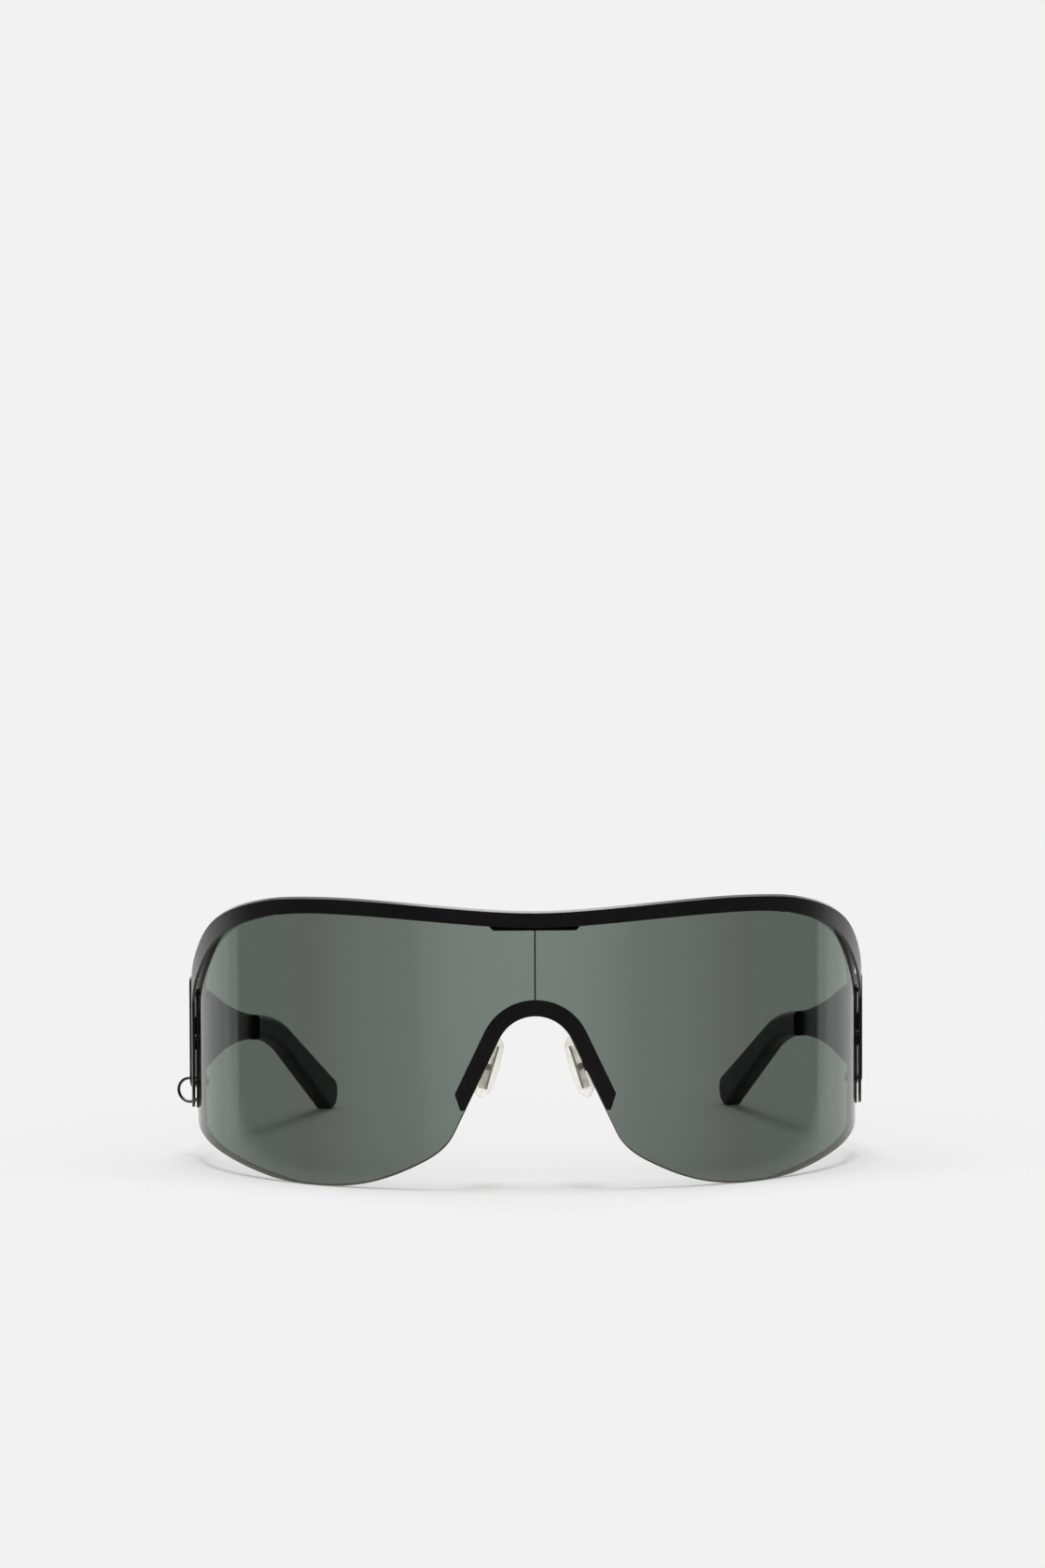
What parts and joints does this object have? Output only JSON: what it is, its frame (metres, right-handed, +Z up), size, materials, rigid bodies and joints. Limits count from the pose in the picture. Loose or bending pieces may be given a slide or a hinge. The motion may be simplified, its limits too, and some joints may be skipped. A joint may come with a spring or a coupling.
{
  "type": "shield sunglasses",
  "caption": "Wrap-around shield sunglasses: a tinted lens in two halves under a bent brow bar, with a nose arch, rocking pads and folding temples.",
  "frame": {"origin": "on the table, in the middle of the width, below the front-most point of the lens", "axes": "+X to the wearer's left, +Y back towards the wearer, +Z up"},
  "size_m": [0.1479, 0.1436, 0.0591],
  "materials": {
    "black_metal": "satin",
    "fittings": "satin black plate",
    "ring_metal": "satin gunmetal",
    "lens": "polished, grey-green tint",
    "acetate": "satin black",
    "silicone": "clear silicone"
  },
  "bodies": {
    "front": {"brow_bar": "black_metal", "lens_right": "lens", "lens_left": "lens", "centre_clip": "black_metal", "centre_clip_screws": "fittings", "nose_arch": "black_metal", "arch_rivets": "fittings", "pad_arm_right": "fittings", "pad_arm_left": "fittings", "pad_screws": "fittings", "side_strip_right": "black_metal", "side_strip_left": "black_metal", "side_posts": "fittings", "side_screws": "fittings", "hinge_front_leaf_right": "fittings", "hinge_front_leaf_left": "fittings", "front_rivets": "fittings", "hinge_screws": "fittings"},
    "right_temple": {"temple_right": "black_metal", "temple_tip_right": "acetate", "hinge_temple_leaf_right": "fittings", "temple_rivets_right": "fittings"},
    "left_temple": {"temple_left": "black_metal", "temple_tip_left": "acetate", "hinge_temple_leaf_left": "fittings", "temple_rivets_left": "fittings"},
    "right_pad": {"nose_pad_right": "silicone", "pad_insert_right": "fittings"},
    "left_pad": {"nose_pad_left": "silicone", "pad_insert_left": "fittings"},
    "ring": {"charm_ring": "ring_metal"}
  },
  "joints": [
    {"name": "right_temple_fold", "type": "hinge", "parent": "front", "child": "right_temple", "pos_m": [-0.07015, 0.05551, 0.027], "axis": [0, 0, -1], "range_deg": [-4.2, 77.7]},
    {"name": "left_temple_fold", "type": "hinge", "parent": "front", "child": "left_temple", "pos_m": [0.07015, 0.05551, 0.027], "axis": [0, 0, 1], "range_deg": [0, 73.9]},
    {"name": "right_pad_rock", "type": "hinge", "parent": "front", "child": "right_pad", "pos_m": [-0.01118, 0.0073, 0.02503], "axis": [-0.4226, 0.9063, 0], "range_deg": [-6, 6]},
    {"name": "left_pad_rock", "type": "hinge", "parent": "front", "child": "left_pad", "pos_m": [0.01118, 0.0073, 0.02503], "axis": [0.4226, 0.9063, 0], "range_deg": [-6, 6]},
    {"name": "ring_swing", "type": "hinge", "parent": "right_temple", "child": "ring", "pos_m": [-0.0716, 0.05683, 0.0166], "axis": [0.9494, -0.314, 0], "range_deg": [-10, 70]}
  ]
}
